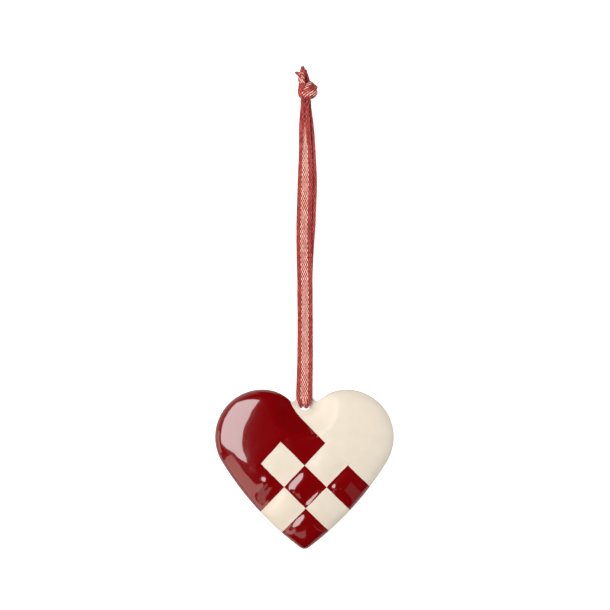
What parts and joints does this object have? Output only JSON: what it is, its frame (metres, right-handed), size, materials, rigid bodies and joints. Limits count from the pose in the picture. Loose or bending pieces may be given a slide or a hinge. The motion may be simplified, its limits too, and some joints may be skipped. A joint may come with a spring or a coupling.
{
  "type": "metal heart ornament",
  "caption": "Puffed enamelled metal heart with a woven-heart check on its front and a pierced tab between its lobes, on a knotted loop of woven ribbon, lying on its back.",
  "frame": {"origin": "on the surface under the middle of the heart's box, with the heart lying on its back and the ribbon left out of the box", "axes": "+X to the heart's right as its front is seen, +Y from its point up past the tab to the knot, +Z the way its front faces"},
  "size_m": [0.065, 0.1758, 0.012],
  "materials": {
    "enamel": "thick glossy enamel, deep red, with cream in a woven-heart check and over the right lobe and the tab",
    "ribbon": "flat woven ribbon, brick red with a pale patterned stripe along its middle"
  },
  "bodies": {
    "root": {"heart": "enamel", "ribbon_front": "ribbon", "ribbon_back": "ribbon", "ribbon_knot": "ribbon"}
  },
  "joints": []
}
